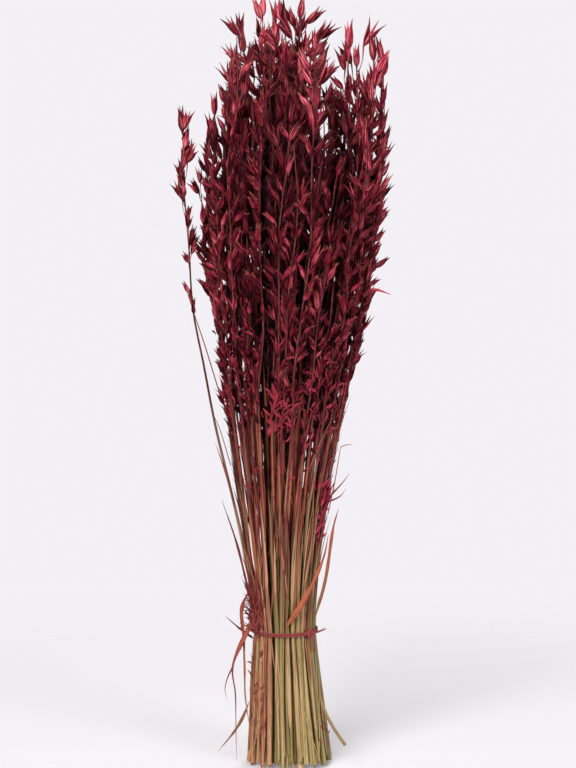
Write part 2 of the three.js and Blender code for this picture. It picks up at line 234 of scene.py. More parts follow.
# The stalks' places. Each oat stalk keeps one place in the sheaf from its cut end to its tip: rings of
# stalks press together at the string, and spread above it and less below it.
TIE_HEIGHT = 0.117
DYE_HEIGHT = 0.268
FLARE_HEIGHT = 0.510  # where the stalks are furthest apart
FOOT_SPREAD = 0.44  # how much wider than at the string the foot is
CROWN_SPREAD = 2.2  # and the crown
STALK_GAP = 0.0042  # between the middles of stalks that touch
RING_GAP = 0.0051
RINGS = [(1, 6), (2, 6), (3, 6), (6, 4), (11, 3)]  # groups of touching stalks, and stalks in a group
OUTER_RING = 4
STRAY_SIDE = 3.2
CRACKED_SIDE = -0.35
STRAY_TIP = 0.572
OUTER_DROP = 0.165  # how far below the crown's outline a tip of the outer ring may end
INNER_DROP = 0.095
CROWN = [(-95, 575), (-62, 650), (-20, 678), (10, 672), (30, 608), (57, 657), (90, 632)]  # outline, in mm


def draw(number, use):
    """A draw from 0 to 1, the same each time for one stalk and one use."""
    wave = sin((number + 7) * 12.9898 + use * 78.233) * 43758.5453
    return wave % 1


def ease(low, high, value):
    """A smooth rise from 0 at one value to 1 at the other."""
    share = min(max((value - low) / (high - low), 0), 1)
    return share * share * (3 - 2 * share)


def spread_at(z):
    """How many times wider than at the string the sheaf is at a height."""
    if z < TIE_HEIGHT:
        return 1 + FOOT_SPREAD * (TIE_HEIGHT - z) / TIE_HEIGHT
    share = min((z - TIE_HEIGHT) / (FLARE_HEIGHT - TIE_HEIGHT), 1)
    return 1 + CROWN_SPREAD * (0.55 * share + 0.45 * ease(0, 1, share))


class Stalk:
    """One oat stalk: where it stands at each height, and where its dye begins."""

    def __init__(self, number, ring, radius, azimuth):
        self.number = number
        self.ring = ring
        self.radius = radius
        self.azimuth = azimuth
        self.drift = 2 * pi * draw(number, 1)
        self.top = DYE_HEIGHT + 0.016 * (2 * draw(number, 2) - 1)
        self.stray = False
        self.cracked = False

    def draw(self, use):
        return draw(self.number, use)

    def at(self, z):
        spread = spread_at(z)
        turn = self.azimuth + 0.16 * z / FLARE_HEIGHT
        lean = 0.29 * ease(TIE_HEIGHT, TIE_HEIGHT + 0.23, z) if self.stray else 0
        reach = self.radius * spread * (1 + lean)
        wander = 0.0012 * (spread - 1) if self.radius else 0
        sway = 0.006 * sin(2 * pi * z / 0.8)
        x = reach * cos(turn) + wander * cos(self.drift) - sway
        return Vector((x, reach * sin(turn) + wander * sin(self.drift), z))

    def outward(self, z):
        side = self.at(z) - MIDDLE.at(z)
        return side.normalized() if self.radius else Vector((0, -1, 0))


def crown_at(x):
    """The outline of the crown from the front: its height at a place across."""
    ends = [(CROWN[0][0] - 1, CROWN[0][1]), *CROWN, (CROWN[-1][0] + 1, CROWN[-1][1])]
    across = min(max(x * 1000, ends[0][0]), ends[-1][0])
    for (x0, z0), (x1, z1) in zip(ends, ends[1:]):
        if across <= x1:
            return (z0 + (z1 - z0) * (across - x0) / (x1 - x0)) / 1000


def nearest(azimuth, low=OUTER_RING, high=OUTER_RING):
    """The outer stalk, or one of other rings, that stands nearest to a side of the sheaf."""
    ring = [stalk for stalk in stalks if low <= stalk.ring <= high]
    return max(ring, key=lambda stalk: cos(stalk.azimuth - azimuth))


MIDDLE = Stalk(0, 0, 0, 0)
groups = []
stalks = []
for ring, (number, size) in enumerate(RINGS):
    radius = STALK_GAP + RING_GAP * ring
    for g in range(number):
        middle = 2 * pi * (g + 0.5 * (ring % 2)) / number
        places = [(0, 0)] if ring == 0 else []
        places += [(radius, middle + (m - (size - 1) / 2) * STALK_GAP / radius) for m in range(size)]
        first = len(stalks)
        stalks += [Stalk(first + i, ring, *place) for i, place in enumerate(places)]
        groups.append(stalks[first:])
nearest(STRAY_SIDE).stray = True
nearest(CRACKED_SIDE).cracked = True
for stalk in stalks:
    drop = (OUTER_DROP if stalk.ring == OUTER_RING else INNER_DROP) * stalk.draw(3)
    stalk.tip = STRAY_TIP if stalk.stray else crown_at(stalk.at(FLARE_HEIGHT).x) - drop


# The straws: hollow dry stems, cut off across or aslant at the foot, with a swollen joint here and there
# and fine ribs along them. Each group of touching straws is one piece, and stands on its cut ends.
class Maker(Tree):
    """A tree of geometry nodes. A mesh of lines and named sizes go in, and one piece comes out."""

    def __init__(self, name, sizes):
        self.group = bpy.data.node_groups.new(name, "GeometryNodeTree")
        super().__init__(self.group)
        plan = self.group.interface
        plan.new_socket("Lines", in_out="INPUT", socket_type="NodeSocketGeometry")
        for label, kind in sizes.items():
            plan.new_socket(label, in_out="INPUT", socket_type="NodeSocket" + kind)
        plan.new_socket("Piece", in_out="OUTPUT", socket_type="NodeSocketGeometry")
        self.lines = self.add("NodeGroupInput", result="Lines")

    def size(self, name):
        return self.lines.beside(name)

    def read(self, name, kind="FLOAT"):
        """A measure that the points carry under a name."""
        return self.add("GeometryNodeInputNamedAttribute", {"Name": name}, "Attribute", data_type=kind)

    def noted(self, shape, name, value, kind="FLOAT", domain="POINT"):
        """The shape, with a measure written on it under a name."""
        values = {"Geometry": shape, "Name": name, "Value": value}
        return self.add("GeometryNodeStoreNamedAttribute", values, data_type=kind, domain=domain)

    def curve(self):
        """The lines as curves, whose points know how far along they are."""
        curve = self.add("GeometryNodeMeshToCurve", {"Mesh": self.lines})
        return self.noted(curve, "along", self.add("GeometryNodeSplineParameter", result="Length"))

    def ring(self, sides):
        """A round section, whose points know their place on it."""
        values = {"Resolution": sides, "Radius": 1.0}
        ring = self.add("GeometryNodeCurvePrimitiveCircle", values, "Curve")
        return self.noted(ring, "section", self.add("GeometryNodeInputPosition"), "FLOAT_VECTOR")

    def skin(self, curve, ring):
        """A section drawn along the curve, as large at each point as its girth says."""
        values = {"Curve": curve, "Profile Curve": ring, "Scale": self.read("girth"), "Fill Caps": True}
        return self.add("GeometryNodeCurveToMesh", values)

    def shifted(self, shape, offset):
        return self.add("GeometryNodeSetPosition", {"Geometry": shape, "Offset": offset})

    def finished(self, shape, material):
        """The shape as one plain smooth mesh with its finish on."""
        shape = self.add("GeometryNodeRealizeInstances", {"Geometry": shape})
        shape = self.add("GeometryNodeSetShadeSmooth", {"Geometry": shape})
        return self.add("GeometryNodeSetMaterial", {"Geometry": shape, "Material": material})

    def close(self, shape):
        self.links.new(shape.socket, self.nodes.new("NodeGroupOutput").inputs[0])


class Lines:
    """Open lines in the making, with named measures at each of their points."""

    def __init__(self):
        self.paths = []
        self.measures = {}

    def note(self, **measures):
        """What the next point says about itself."""
        for name, value in measures.items():
            self.measures.setdefault(name, []).append(value)

    def mesh(self):
        mesh = bpy.data.meshes.new("lines")
        edges = []
        count = 0
        for path in self.paths:
            edges += [(count + i, count + i + 1) for i in range(len(path) - 1)]
            count += len(path)
        mesh.from_pydata([point for path in self.paths for point in path], edges, [])
        for name, values in self.measures.items():
            if isinstance(values[0], Vector):
                spots = [number for value in values for number in value]
                mesh.attributes.new(name, "FLOAT_VECTOR", "POINT").data.foreach_set("vector", spots)
            else:
                mesh.attributes.new(name, "FLOAT", "POINT").data.foreach_set("value", values)
        return mesh

    def grown(self, name, slot, maker, sizes):
        """Runs a maker on the lines and leaves one plain mesh, which moves with the sheaf."""
        piece = bpy.data.objects.new(name, self.mesh())
        scene.collection.objects.link(piece)
        modifier = piece.modifiers.new(name, "NODES")
        modifier.node_group = maker.group
        for item in maker.group.interface.items_tree:
            if item.name in sizes:
                modifier[item.identifier] = sizes[item.name]
        shown = bpy.context.evaluated_depsgraph_get()
        mesh = bpy.data.meshes.new_from_object(piece.evaluated_get(shown), depsgraph=shown)
        piece.modifiers.remove(modifier)
        piece.data = mesh
        drop_empty_slots(mesh)
        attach(piece, "root")
        return piece


def drop_empty_slots(mesh):
    """Leaves only the finishes that the mesh has."""
    finishes = [finish for finish in mesh.materials if finish]
    places = [finishes.index(finish) if finish else 0 for finish in mesh.materials]
    worn = [places[face.material_index] for face in mesh.polygons]
    mesh.materials.clear()
    for finish in finishes:
        mesh.materials.append(finish)
    mesh.polygons.foreach_set("material_index", worn)


def straw_finish():
    """Dry straw: olive, gold or tan by the stalk, rusty above the string, and wine red further up. Inner
    straws are painted paler, as painted light against the shade of the outer ones.
    """
    finish = Finish("dried straw", 0.58, 0.25)
    tint, dye, joint, along, pale = finish.read("tint", "dye", "joint", "along", "pale")
    side, front, _ = finish.place_on("section")
    height = finish.parts(finish.add("ShaderNodeTexCoord", result="Object"))[2]

    def grain(around, up):
        """Streaks that run along the straw."""
        return finish.cloud(finish.vector(side * around, front * around, along * up + dye * 61), 3.0)

    broad = grain(1.1, 9)
    fine = grain(6.0, 14)
    flecks = grain(1.8, 130)
    stops = [
        (0.0, (0.2, 0.185, 0.062)),
        (0.25, (0.3, 0.257, 0.088)),
        (0.5, (0.38, 0.297, 0.124)),
        (0.7, (0.45, 0.285, 0.142)),
        (0.84, (0.56, 0.235, 0.125)),
        (1.0, (0.3, 0.04, 0.03)),
    ]
    dry = finish.ramp(tint + (broad - 0.5) * 0.75, stops)
    # Painted light: the inner straws are mixed towards pale gold, lifting the shade that the outer straws
    # cast on them.
    dry = mixed(pale, dry, (0.75, 0.54, 0.27))
    rise = (height - 0.111) / 0.17 + (dye - 0.5) * 0.65 + (broad - 0.5) * 0.7
    browned = mixed((dye * 5 - 2).held(), (0.35, 0.185, 0.13), (0.3, 0.085, 0.056))
    rusty = mixed((rise * 1.5).held() * 0.9, dry, mixed(fine, browned, (0.13, 0.04, 0.034)))
    dyed = mixed((rise * 1.7 - 0.85).held(), rusty, mixed(fine, (0.17, 0.016, 0.026), (0.05, 0.005, 0.01)))
    worn = mixed((fine * 3 - 1).held(), dyed, mixed(1.0, dyed, (0.42, 0.31, 0.22), "MULTIPLY"))
    # Painted highlights: pale gold streaks laid along the straws below the dye by noise.
    painted_highlights = mixed((broad * 4 - 2.1).held() * 0.4 * (1 - rise).held(), worn, (0.66, 0.58, 0.36))
    flecked = mixed((flecks * 9 - 4.9).held() * 0.65, painted_highlights, (0.2, 0.085, 0.035))
    finish.sets("Base Color", mixed(joint * 0.4, flecked, (0.16, 0.08, 0.035)))
    finish.sets("Roughness", 0.45 + fine * 0.3)
    finish.raised(fine + broad, 0.6, 0.0004)
    return finish.material


STRAW = straw_finish()


def straw_tree():
    """A hollow straw along each line, ribbed, and cut off at its foot."""
    maker = Maker("straws", {"Sides": "Int", "Wall": "Float"})
    skin = maker.skin(maker.curve(), maker.ring(maker.size("Sides")))
    height = maker.parts(maker.add("GeometryNodeInputPosition"))[2]
    side, front, _ = maker.parts(maker.read("section", "FLOAT_VECTOR"))
    # The knife went through some straws aslant: one side of the lowest ring of points stands higher.
    slant = maker.read("slant")
    turned = side * slant.maths("COSINE") + front * slant.maths("SINE")
    skin = maker.shifted(skin, maker.vector(z=(turned + 1) * maker.read("cut")))
    # Dry straw is never quite round: its wall sinks a little between its ribs.
    ribs = maker.cloud(maker.vector(side * 1.3, front * 1.3, maker.read("along") * 14 + slant * 9), 2.0)
    deep = (ribs - 0.6) * 0.45 * maker.read("girth") * maker.read("whole")
    values = {"Vector": maker.add("GeometryNodeInputNormal"), "Scale": deep}
    skin = maker.shifted(skin, maker.add("ShaderNodeVectorMath", values, operation="SCALE"))
    # The cut end is a wall round a bore: the end face is drawn in, and then pushed up the straw.
    corners = maker.add("GeometryNodeInputMeshFaceNeighbors", result="Vertex Count")
    values = {"Mesh": skin, "Selection": (corners > 4.5) * (height < 0.03), "Offset Scale": 0.0}
    wall = maker.add("GeometryNodeExtrudeMesh", values, "Mesh")
    values = {"Geometry": wall, "Selection": wall.beside("Top"), "Scale": maker.size("Wall")}
    rim = maker.add("GeometryNodeScaleElements", values)
    bore = maker.read("bore", "FLOAT_VECTOR")
    values = {"Mesh": rim, "Selection": wall.beside("Top"), "Offset": bore}
    maker.close(maker.finished(maker.add("GeometryNodeExtrudeMesh", values, "Mesh"), STRAW))
    return maker


STRAW_RADIUS = 0.00235  # of a whole stalk at its foot
STRAW_TAPER = 0.00085  # how much thinner it is where its dye begins
BORE_SHARE = 0.68  # of a straw's thickness
BORE_DEPTH = 0.009
POINT_GAP = 0.011  # between the points of a straw
LOWEST_END = 0.0003
SLIM_HEIGHT = TIE_HEIGHT + 0.07  # where the straws have thinned
CRACK_HEIGHT = 0.066  # of the crack in one straw
FALLEN_HEIGHT = 0.017  # of its end, which hangs out to the right
FALLEN_REACH = 0.028
RUSTY_SIDE = radians(203)


def strands_of(stalk):
    """The straws in a stalk's place: each one's share of its width, and its way off the middle."""
    pick = stalk.draw(24)
    if stalk.cracked:
        return [(0.56, 0)]
    if stalk.ring < 3 or stalk.stray or pick < 0.42:
        return [(0.88 + 0.12 * stalk.draw(15), 0)]
    if pick < 0.8:
        return [(0.64, 0.36), (0.5, 0.5)]
    return [(0.52, 0.46), (0.46, 0.5), (0.4, 0.52)]


def straw_path(stalk, strand, share, off):
    """The middle of a straw, and at each point its thickness and how brown it is."""
    mark = stalk.number * 3 + strand
    low = LOWEST_END + (0.008 if stalk.ring == OUTER_RING else 0.003) * stalk.draw(12) ** 1.6
    if strand:
        low = LOWEST_END + 0.016 * draw(mark, 14)
    joints = [0.02 + 0.08 * draw(mark, 13)] if draw(mark, 10) > 0.45 else []
    top = stalk.top - 0.012 * strand
    heights = {low, top}
    heights |= {POINT_GAP * i for i in range(1, 26) if low + 0.004 < POINT_GAP * i < top - 0.004}
    for joint in joints:
        heights = {z for z in heights if abs(z - joint) > 0.004 or z in (low, top)}
        heights |= {joint + step for step in (-0.0025, -0.0008, 0.0008, 0.0025)}
    points = []
    for z in sorted(heights):
        rise = max(0, (z - TIE_HEIGHT) / (stalk.top - TIE_HEIGHT))
        merge = ease(top - 0.07, top, z) if off else 0
        room = STRAW_RADIUS - STRAW_TAPER * rise
        slim = 1 - 0.2 * ease(TIE_HEIGHT, SLIM_HEIGHT, z)
        wide = share + (0.85 - share) * merge * (strand == 0)
        thick = room * slim * wide * (1 + 0.12 * ease(0.1, 0.03, z))
        swell = max([0.0, *(1 - abs(z - joint) / 0.0024 for joint in joints)])
        turn = 6.28 * (stalk.draw(9) + strand / 2.6) + 7 * z * (stalk.draw(8) - 0.3)
        place = stalk.at(z) + Vector((cos(turn), sin(turn), 0)) * (off * room * (1 - merge))
        outward = stalk.outward(z)
        loose = (0.0006 + 0.0017 * ease(0.12, 0.2, z)) * (1 + 0.6 * (strand > 0))
        bow = loose * sin(26 * z + 6.28 * draw(mark, 7)) * (1 - ease(top - 0.04, top, z))
        place += Vector((-outward.y, outward.x, 0)) * (bow if stalk.ring > 2 else 0)
        if stalk.cracked and z < CRACK_HEIGHT:
            fall = (CRACK_HEIGHT - z) / CRACK_HEIGHT
            away = FALLEN_REACH * fall - 0.004 * sin(pi * fall)
            place = stalk.at(CRACK_HEIGHT) + stalk.outward(CRACK_HEIGHT) * away
            place.z = CRACK_HEIGHT - (CRACK_HEIGHT - FALLEN_HEIGHT) * fall
        points.append((place, thick * (1 + 0.1 * swell), 1.0 if stalk.cracked else min(swell * 1.6, 1)))
    return points


def straw_tint(stalk):
    """Most straws are olive to tan. The rusty and red ones stand at the left."""
    if stalk.cracked:
        return 0.5
    if stalk.ring >= 3 and cos(stalk.azimuth - RUSTY_SIDE) > 0.74:
        return 0.7 + 0.2 * stalk.draw(16)
    return 0.8 if stalk.draw(17) > 0.93 else 0.47 * stalk.draw(16)


straw_maker = straw_tree()
for number, members in enumerate(groups, 1):
    straws = Lines()
    for stalk in members:
        for strand, (share, off) in enumerate(strands_of(stalk)):
            mark = stalk.number * 3 + strand
            points = straw_path(stalk, strand, share, off)
            straws.paths.append([point[0] for point in points])
            tint = straw_tint(stalk)
            if strand:
                tint = 0.6 * tint + 0.4 * draw(mark, 16)
            for i, (_, thick, brown) in enumerate(points):
                straws.note(
                    girth=thick,
                    joint=brown,
                    # painted light on the inner straws, against the shade of the outer ones
                    pale=0.7 if stalk.ring < OUTER_RING else 0.0,
                    whole=1.0 if i else 0.0,
                    bore=(points[1][0] - points[0][0]).normalized() * BORE_DEPTH,
                    tint=tint,
                    dye=1.0 if stalk.cracked else draw(mark, 18),
                    slant=6.28 * draw(mark, 19),
                    cut=0.0016 * draw(mark, 11) if i == 0 and not stalk.cracked else 0.0,
                )
    sides = 12 if members[0].ring >= 3 else 8
    sizes = {"Sides": sides, "Wall": BORE_SHARE}
    piece = straws.grown(f"straws_{number:02d}", "straw", straw_maker, sizes)
    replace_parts(piece, f"stems_{number:02d}")


# The heads: from where the dye begins, each stalk thins and carries spikelets on short bent stalks, close
# together towards its tip. A spikelet is two papery husks, boat-shaped and ribbed, round a slim grain.
def husk_finish():
    """Dyed husk: wine red with crimson and salmon streaks along its ribs, made brighter by painted
    back-light at the crown's tips and sides, and darker by painted shade inside the crown.
    """
    finish = Finish("dyed husk", 0.5, 0.12)
    tint, shade, faded = finish.read("tint", "shade", "faded")
    across, along, inner = finish.place_on("grain")

    def streaks(wide, long, detail):
        place = finish.vector(across * wide + tint * 53, along * long, tint * 31 + inner * 5)
        return finish.cloud(place, detail)

    streak = streaks(4.2, 1.2, 4.0)
    patch = streaks(0.7, 1.6, 2.0)
    ribs = (across * 25).maths("SINE") * 0.5 + 0.5
    stops = [
        (0.0, (0.011, 0.001, 0.002)),
        (0.3, (0.048, 0.002, 0.006)),
        (0.52, (0.15, 0.005, 0.015)),
        (0.74, (0.36, 0.018, 0.046)),
        (1.0, (0.64, 0.18, 0.205)),
    ]
    value = tint * 0.4 + streak * 2 + patch * 0.5 + ribs * 0.3 - 1.17 + inner * 0.1
    # Painted back-light: husks at the crown's tips and sides are made brighter and paler, as if lit through
    # from behind.
    dyed = finish.ramp((value + faded * 0.08).held(), stops)
    dyed = mixed(faded, dyed, mixed(1.0, dyed, (1.55, 1.7, 1.75), "MULTIPLY"))
    point = ((along - 0.72) * 4).held()
    tip = mixed((tint * 5 - 2 + patch).held(), (0.04, 0.005, 0.008), (0.46, 0.14, 0.085))
    ended = mixed(point * 0.75, dyed, tip)
    # Painted back-light: salmon patches laid on the husks where the painted back-light is strongest.
    backlit_salmon = mixed((streak * 4 + patch * 2 - 3).held() * faded * 0.6, ended, (0.62, 0.2, 0.14))
    # Painted shade: husks on the inner rings, away from their tips, are mixed towards near black.
    finish.sets("Base Color", mixed(1.0 - shade, backlit_salmon, (0.006, 0.001, 0.002)))
    finish.sets("Roughness", 0.42 + streak * 0.25)
    finish.raised(ribs + streak, 0.8, 0.0003)
    return finish.material


HUSK = husk_finish()
HUSK_ROWS = [  # share of its length, half width and depth of a husk, in millimetres
    (0.0, 0.0, 0.0),
    (0.08, 1.4, 1.3),
    (0.25, 2.45, 1.95),
    (0.47, 2.2, 1.75),
    (0.72, 0.95, 0.85),
    (1.0, 0.0, 0.0),
]
GRAIN_ROWS = [(0, 0), (0.16, 0.9), (0.42, 1.25), (0.72, 0.6), (1, 0)]  # share of its length, and radius
STEM_ROWS = [(0, 0.5), (0.3, 0.34), (0.65, 0.3), (1, 0.75)]  # the same for the bent stalk of a spikelet
SHUT_ROWS = [(0, 0), (0.25, 2.3), (0.6, 1.9), (1, 0)]  # and for a shut spikelet
SHUT_LENGTH = 17
KINDS = [  # stalk out and up, lean and turn of the spikelet, how far its husks part, length, grain
    (1.2, 3, 0.3, 0.0, 0.1, 18, 0.85),
    (1.6, 4, 0.44, 1.57, 0.15, 17, 0.9),
    (2.0, 5, 0.36, 0.7, 0.2, 19, 1.0),
    (2.4, 6, 0.55, 2.1, 0.12, 16, 0.85),
    (3.0, 8, 0.33, 0.2, 0.26, 19, 1.0),
    (3.4, 9, 0.48, 1.3, 0.18, 16, 0.9),
    (1.4, 4, 0.66, 2.6, 0.1, 15, 0.8),
    (2.4, 6, 0.26, 0.0, 0.34, 18, 1.0),
    (1.8, 4, 0.4, 3.0, 0.07, 18, 0.85),
    (2.8, 7, 0.78, 1.1, 0.22, 16, 0.95),
]
LOOSE_KINDS = [  # the same sizes, for spikelets on long stalks near the tips
    (4.6, 12, 0.5, 0.3, 0.3, 19, 1.0),
    (6.0, 13, 0.85, 1.0, 0.26, 18, 0.95),
    (5.2, 16, 0.65, 0.0, 0.36, 20, 1.0),
]
INNER_KINDS = [(1.2, 0.2), (2.6, 0.5)]  # way out and lean of the shut spikelets inside the crown


class Shape:
    """A mesh in the making, whose points carry their grain: across, along, and how far inside they are."""

    def __init__(self):
        self.points = []
        self.faces = []
        self.grain = []
        self.sharp = set()

    def add(self, point, grain):
        self.points.append(Vector(point))
        self.grain.append(grain)
        return len(self.points) - 1

    def ring(self, x, z, radius, sides, share, inside):
        """A ring of points, or the one point that a rod ends in."""
        turns = [2 * pi * i / sides for i in range(sides if radius else 1)]
        return [
            self.add((x + radius * cos(a), radius * sin(a), z), (cos(a), share, inside))
            for a in turns
        ]

    def skin(self, low, high):
        """Faces between two rows of points. A row of one point closes to it."""
        if len(low) == 1:
            self.faces += [(low[0], high[i + 1], high[i]) for i in range(len(high) - 1)]
        elif len(high) == 1:
            self.faces += [(low[i], low[i + 1], high[0]) for i in range(len(low) - 1)]
        else:
            self.faces += [(low[i], low[i + 1], high[i + 1], high[i]) for i in range(len(low) - 1)]

    def rod(self, rings):
        """A closed thin rod through rings of points."""
        rings = [[*ring, ring[0]] if len(ring) > 1 else ring for ring in rings]
        for low, high in zip(rings, rings[1:]):
            self.skin(low, high)

    def husk(self, length, plump, flare, bow):
        """One boat-shaped husk: keeled outside, hollow inside, with its two edges sharp."""
        outer = []
        inner = []
        for share, half, depth in HUSK_ROWS:
            z = length * share
            lift = flare * length * share**1.8 + bow * sin(pi * share)
            if half == 0:
                end = [self.add((lift + 0.15, 0, z), (0, share, 0))]
                outer.append(end)
                inner.append(end)
                continue
            row = []
            for side in (-1, -0.5, 0, 0.5, 1):
                turn = pi / 2 * side
                at = (lift + depth * plump * cos(turn), half * sin(turn), z)
                row.append(self.add(at, (side, share, 0)))
            keel = self.add((lift + depth * plump - 0.45, 0, z), (0, share, 0.5))
            outer.append(row)
            inner.append([row[4], keel, row[0]])
        for rows in (outer, inner):
            for low, high in zip(rows, rows[1:]):
                self.skin(low, high)
        for low, high in zip(outer, outer[1:]):
            self.sharp |= {tuple(sorted((low[side], high[side]))) for side in (0, -1)}

    def moved(self, first, place):
        for i in range(first, len(self.points)):
            self.points[i] = place @ self.points[i]

    def model(self, number, place=Matrix.Identity(4)):
        """The shape, moved and brought from millimetres to metres, as an object for the heads to copy."""
        self.moved(0, Matrix.Scale(0.001, 4) @ place)
        name = f"spikelet {number:02d}"
        mesh = bpy.data.meshes.new(name)
        mesh.from_pydata(self.points, [], self.faces)
        spots = [value for grain in self.grain for value in grain]
        mesh.attributes.new("grain", "FLOAT_VECTOR", "POINT").data.foreach_set("vector", spots)
        marks = [tuple(sorted(edge.vertices)) in self.sharp for edge in mesh.edges]
        mesh.attributes.new("sharp_edge", "BOOLEAN", "EDGE").data.foreach_set("value", marks)
        mesh.shade_smooth()
        return bpy.data.objects.new(name, mesh)


def spikelet(number, out, up, lean, spin, flare, length, grain_share):
    """One spikelet on its bent stalk, which starts at the origin and leans towards +X. In millimetres."""
    shape = Shape()
    shape.husk(length, 1.0, flare, 0.0)
    second = len(shape.points)
    shape.husk(length * 0.93, 0.9, flare * 1.15, 0.1)
    shape.moved(second, Matrix.Rotation(pi, 4, "Z"))
    grain = len(shape.points)
    seed = length * grain_share
    shape.rod([shape.ring(0, seed * share, radius, 5, share, 1) for share, radius in GRAIN_ROWS])
    shape.moved(grain, Matrix.Rotation(0.05 * sin(number), 4, "X"))
    turned = Matrix.Rotation(lean, 4, "Y") @ Matrix.Rotation(spin, 4, "Z")
    shape.moved(0, Matrix.Translation((out, 0, up)) @ turned)
    rings = []
    for share, radius in STEM_ROWS:
        x = out * sin(share * pi / 2)
        z = up * (0.25 * share + 0.75 * share**2) + (0.8 if share == 1 else 0)
        rings.append(shape.ring(x, z, radius, 3, share * 0.3, 0.2))
    shape.faces += [tuple(reversed(rings[0])), tuple(rings[-1])]
    shape.rod(rings)
    return shape.model(number)


def shut_spikelet(number, out, lean):
    """A plain spikelet for the inside of the crown, where only its outline is seen."""
    shape = Shape()
    shape.rod([shape.ring(out, SHUT_LENGTH * share, radius, 5, share, 0) for share, radius in SHUT_ROWS])
    return shape.model(number, Matrix.Rotation(lean, 4, "Y"))


kinds = bpy.data.collections.new("spikelet kinds")
for number, sizes in enumerate(KINDS + LOOSE_KINDS):
    kinds.objects.link(spikelet(number, *sizes))
for number, sizes in enumerate(INNER_KINDS, len(kinds.objects)):
    kinds.objects.link(shut_spikelet(number, *sizes))


def head_tree():
    """A stalk along each line, and the spikelets that chance puts on it."""
    sizes = {"Spikelets": "Collection", "Spacing": "Float", "Seed": "Int", "Sides": "Int"}
    maker = Maker("heads", sizes)
    curve = maker.curve()
    culm = maker.skin(curve, maker.ring(maker.size("Sides")))
    values = {"Curve": curve, "Length": maker.size("Spacing")}
    points = maker.add("GeometryNodeCurveToPoints", values, "Points", mode="LENGTH")

    def chance(use, low=0, high=1):
        values = {"Min": low, "Max": high, "Seed": maker.size("Seed") + use}
        return maker.add("FunctionNodeRandomValue", values)

    def turned(axis, angle):
        return maker.add("FunctionNodeAxisAngleToRotation", {"Axis": axis, "Angle": angle})

    # Spikelets stand left and right of the stalk by turns, or on some stalks all at one side.
    by_turns = maker.add("GeometryNodeInputIndex") * pi * maker.read("by_turns")
    around = turned((0, 0, 1), maker.read("plane") + by_turns + chance(1, -0.8, 0.8))
    tuck = turned((0, 1, 0), (maker.read("reach") - 1) * 0.5 + chance(2, -0.2, 0.38))
    upright = maker.add("FunctionNodeAlignRotationToVector", {"Vector": points.beside("Tangent")}, axis="Z")
    for turn in (around, tuck):
        values = {"Rotation": upright, "Rotate By": turn}
        upright = maker.add("FunctionNodeRotateRotation", values, rotation_space="LOCAL")
    picks = []
    first = 0
    for row in (KINDS, LOOSE_KINDS, INNER_KINDS):
        values = {"Min": first, "Max": first + len(row) - 1, "Seed": maker.size("Seed") + 3}
        picks.append(maker.add("FunctionNodeRandomValue", values, data_type="INT"))
        first += len(row)
    kind, loose, shut = picks
    for switch, other in ((maker.read("loose") > chance(7), loose), (maker.read("inside"), shut)):
        values = {"Switch": switch, "False": kind, "True": other}
        kind = maker.add("GeometryNodeSwitch", values, input_type="INT")
    values = {"Probability": maker.read("crowd"), "Seed": maker.size("Seed") + 4}
    kept = maker.add("FunctionNodeRandomValue", values, data_type="BOOLEAN")
    values = {"Collection": maker.size("Spikelets"), "Separate Children": True, "Reset Children": True}
    models = maker.add("GeometryNodeCollectionInfo", values)
    values = {
        "Points": points,
        "Selection": kept,
        "Instance": models,
        "Pick Instance": True,
        "Instance Index": kind,
        "Rotation": upright,
        "Scale": maker.read("size") * chance(5, 0.82, 1.12),
    }
    spikelets = maker.add("GeometryNodeInstanceOnPoints", values)
    spikelets = maker.noted(spikelets, "tint", chance(6), domain="INSTANCE")
    spikelets = maker.noted(spikelets, "husk", 1.0, domain="INSTANCE")
    join = maker.nodes.new("GeometryNodeJoinGeometry")
    for part in (culm, spikelets):
        maker.links.new(part.socket, join.inputs[0])
    whole = maker.finished(Wire(maker, join.outputs[0]), STRAW)
    values = {"Geometry": whole, "Selection": maker.read("husk") > 0.5, "Material": HUSK}
    maker.close(maker.add("GeometryNodeSetMaterial", values))
    return maker


SPIKELET_GAP = 0.0036  # along a stalk, where none is missing
BARE_TIP = 0.022  # how far below its topmost husk a stalk ends
HEAD_STEP = 0.018  # between the points of a head's stalk
STRAW_LAP = 0.004  # how far a head's stalk reaches down into its straw
# The ring shades below are painted shade: the share of its colour that each ring's husks keep, least in the
# middle of the crown.
RING_SHADE = (0.02, 0.04, 0.1, 0.42, 1)  # how much light reaches each ring
RING_CROWD = (0.95, 0.95, 0.97, 0.97, 1)  # and how full of spikelets it is
HEAD_RADIUS = 0.00115
HEAD_TAPER = 0.00075


def head_place(stalk, z):
    """The middle of a head's stalk, which bends aside as it rises."""
    aside, back = (noise.noise(Vector((z * 13, stalk.number * 5.1, part))) for part in (1.7, 6.1))
    return stalk.at(z) + Vector((aside, back, 0)) * 0.0068 * ease(stalk.top, stalk.top + 0.1, z)


def crowd_at(stalk, z, room, airy):
    """The chance that a spikelet is there: few low down, many above, and fewer again at the tips."""
    if stalk.stray:
        return 0.62 * ease(0.42, 0.44, z) + 0.25 * ease(0.37, 0.4, z)
    chain = stalk.tip - 0.15 - 0.06 * stalk.draw(21)
    below = 0.75 * ease(0.268, 0.36, z + 0.02 * stalk.draw(22))
    crowd = below + (1 - below) * ease(chain - 0.02, chain + 0.02, z)
    patchy = noise.noise(Vector((z * 22, stalk.number * 7.3, 0)))
    crowd *= RING_CROWD[stalk.ring] * min(1, 0.84 + 1.4 * patchy)
    crowd *= 1 - 0.8 * airy * (0.6 + 0.4 * stalk.draw(27))
    return crowd * (1 - 0.45 * ease(0.12, 0.03, room))


